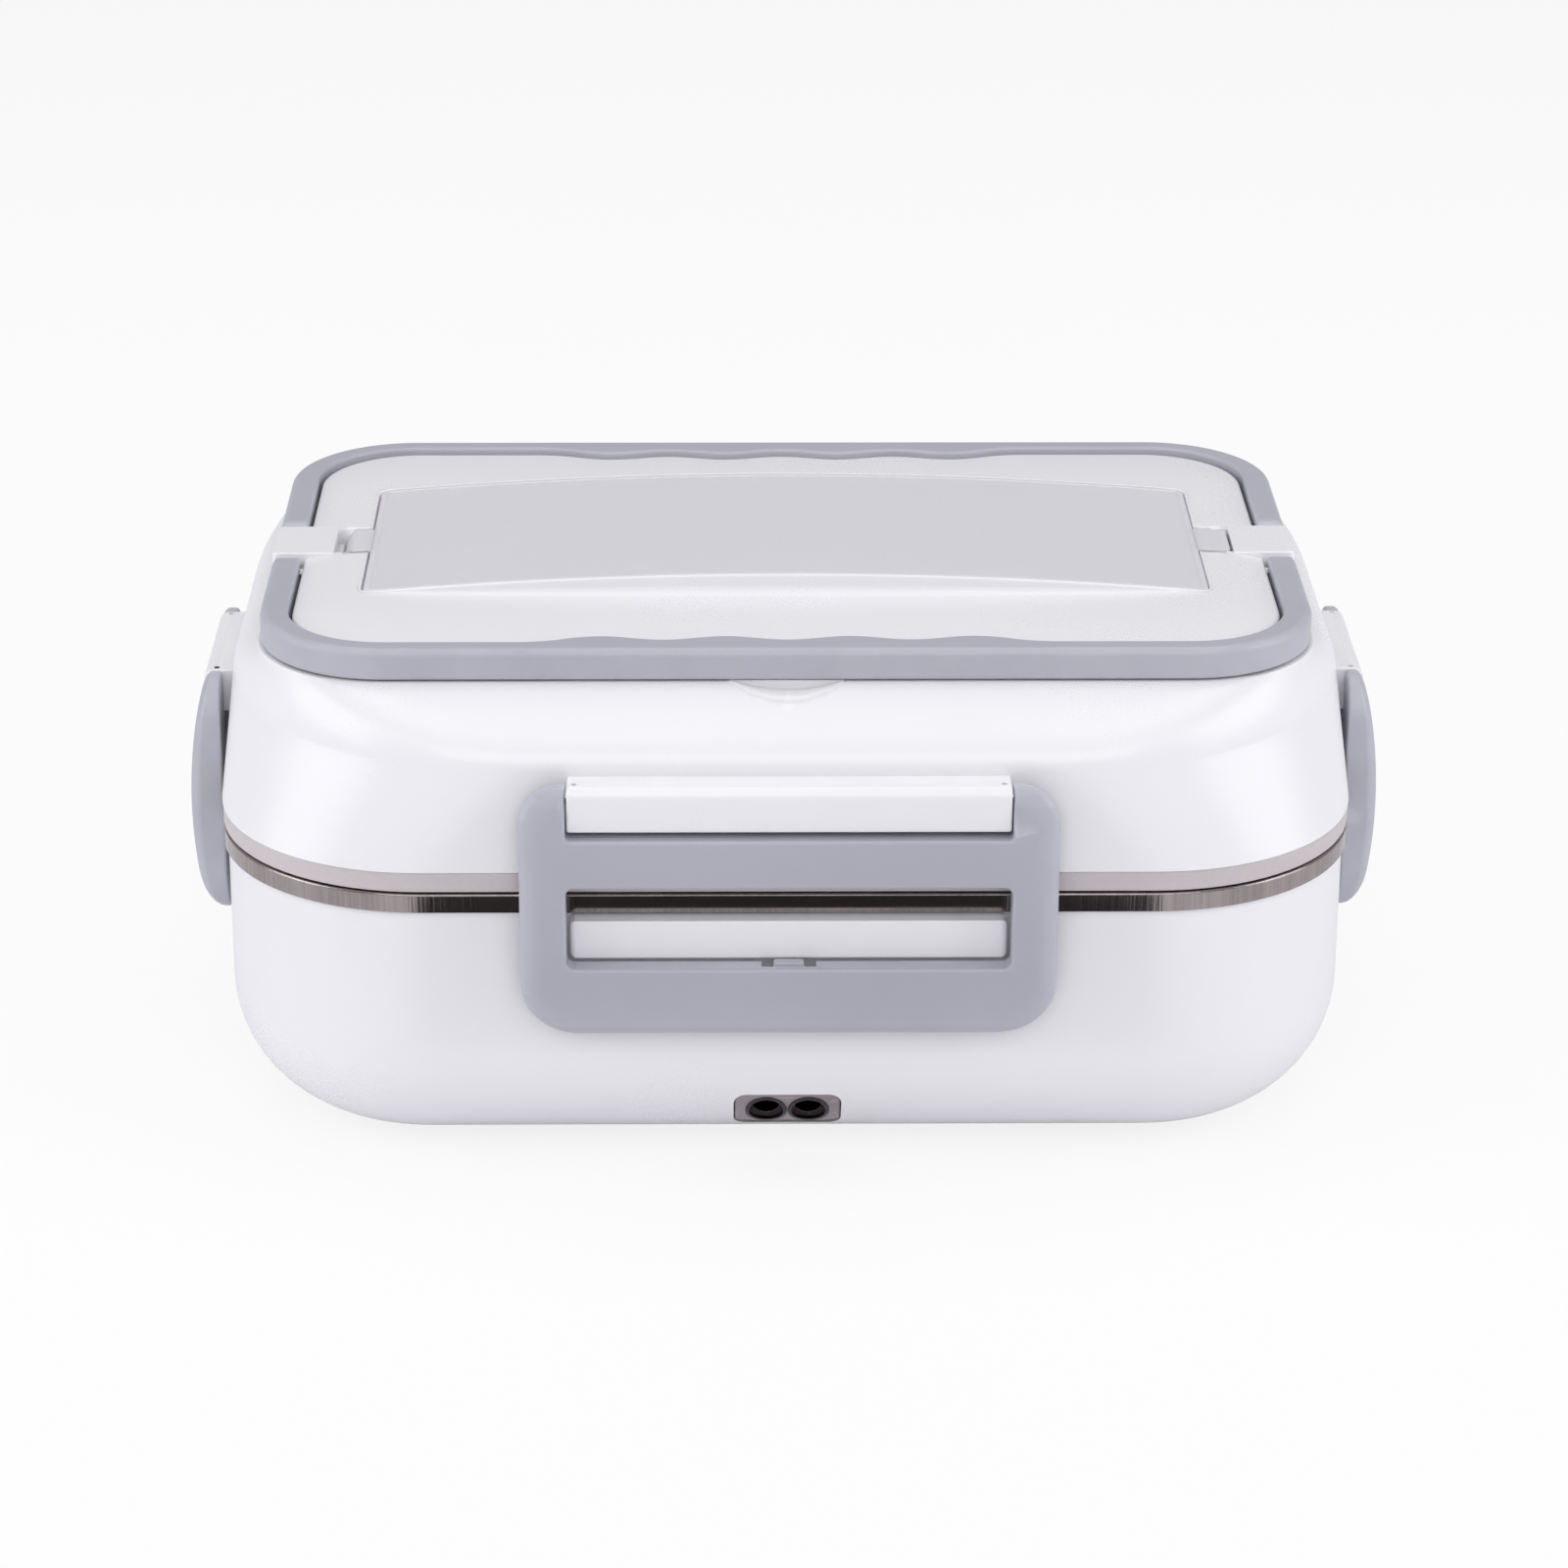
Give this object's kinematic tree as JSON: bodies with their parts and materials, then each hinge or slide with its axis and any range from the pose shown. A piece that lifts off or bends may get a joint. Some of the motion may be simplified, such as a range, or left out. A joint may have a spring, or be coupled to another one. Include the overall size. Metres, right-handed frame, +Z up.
{
  "type": "electric lunch box",
  "caption": "Portable heated lunch box: rounded base with mains inlet, lift-out steel container, clip-on lid with carrying handles, side latches and a hinged cutlery cover.",
  "frame": {"origin": "centre of the plane that the feet stand on", "axes": "+Z up, +X along the length to the right, -Y towards the front with the mains inlet"},
  "size_m": [0.2496, 0.1886, 0.1115],
  "materials": {
    "white_plastic": "moulded white polypropylene, soft satin gloss",
    "tub_plastic": "pale grey moulded polypropylene",
    "grey_plastic": "cool grey moulded plastic, fine satin texture",
    "cover_plastic": "milky translucent plastic",
    "silicone": "translucent silicone",
    "steel": "brushed stainless sheet",
    "plate_metal": "spun aluminium",
    "hardware": "plain steel",
    "dark_plastic": "dark heat-resistant plastic",
    "contact_metal": "nickel-washed brass",
    "wire_red": "silicone wire sleeve",
    "wire_blue": "silicone wire sleeve",
    "wire_white": "glass-fibre wire sleeve",
    "phenolic": "phenolic moulding",
    "foot_rubber": "soft grey rubber"
  },
  "bodies": {
    "base": {"base_shell": "white_plastic", "inner_tub": "tub_plastic", "heating_plate": "plate_metal", "plate_seal": "silicone", "ptc_heater": "plate_metal", "heater_clamp": "hardware", "clamp_screws": "hardware", "thermostat": "phenolic", "thermal_fuse": "contact_metal", "inlet_housing": "dark_plastic", "inlet_pins": "contact_metal", "inlet_screws": "hardware", "live_lead": "wire_red", "neutral_lead": "wire_blue", "link_leads": "wire_white", "rubber_feet": "foot_rubber", "bottom_screws": "hardware"},
    "container": {"steel_container": "steel"},
    "lid": {"lid_shell": "white_plastic", "lid_liner": "tub_plastic", "lid_seal": "silicone", "handle_pins": "hardware", "cover_pin": "hardware", "front_latch_pin": "hardware", "rear_latch_pin": "hardware", "left_latch_pin": "hardware", "right_latch_pin": "hardware"},
    "front_latch_body": {"front_latch": "grey_plastic"},
    "rear_latch_body": {"rear_latch": "grey_plastic"},
    "left_latch_body": {"left_latch": "grey_plastic"},
    "right_latch_body": {"right_latch": "grey_plastic"},
    "front_handle_body": {"front_handle": "grey_plastic"},
    "rear_handle_body": {"rear_handle": "grey_plastic"},
    "cover_body": {"spoon_cover": "cover_plastic"}
  },
  "joints": [
    {"name": "lid_lift", "type": "slide", "parent": "base", "child": "lid", "axis": [0, 0, 1], "range_m": [0, 0.12]},
    {"name": "container_lift", "type": "slide", "parent": "base", "child": "container", "axis": [0, 0, 1], "range_m": [0, 0.06]},
    {"name": "front_latch_hinge", "type": "hinge", "parent": "lid", "child": "front_latch_body", "pos_m": [0, -0.0886, 0.0855], "axis": [-1, 0, 0], "range_deg": [0, 110]},
    {"name": "rear_latch_hinge", "type": "hinge", "parent": "lid", "child": "rear_latch_body", "pos_m": [0, 0.0886, 0.0855], "axis": [1, 0, 0], "range_deg": [0, 110]},
    {"name": "left_latch_hinge", "type": "hinge", "parent": "lid", "child": "left_latch_body", "pos_m": [-0.1191, 0, 0.0823], "axis": [0, 1, 0], "range_deg": [0, 110]},
    {"name": "right_latch_hinge", "type": "hinge", "parent": "lid", "child": "right_latch_body", "pos_m": [0.1191, 0, 0.0823], "axis": [0, -1, 0], "range_deg": [0, 110]},
    {"name": "front_handle_hinge", "type": "hinge", "parent": "lid", "child": "front_handle_body", "pos_m": [0, -0.0122, 0.1044], "axis": [1, 0, 0], "range_deg": [-90, 0]},
    {"name": "rear_handle_hinge", "type": "hinge", "parent": "lid", "child": "rear_handle_body", "pos_m": [0, 0.0122, 0.1044], "axis": [-1, 0, 0], "range_deg": [-90, 0]},
    {"name": "cover_hinge", "type": "hinge", "parent": "lid", "child": "cover_body", "pos_m": [-0.091, 0, 0.1049], "axis": [0, -1, 0], "range_deg": [0, 100]}
  ],
  "couplings": [
    {"joint": "container_lift", "follows": "lid_lift", "ratio": 0.5}
  ]
}
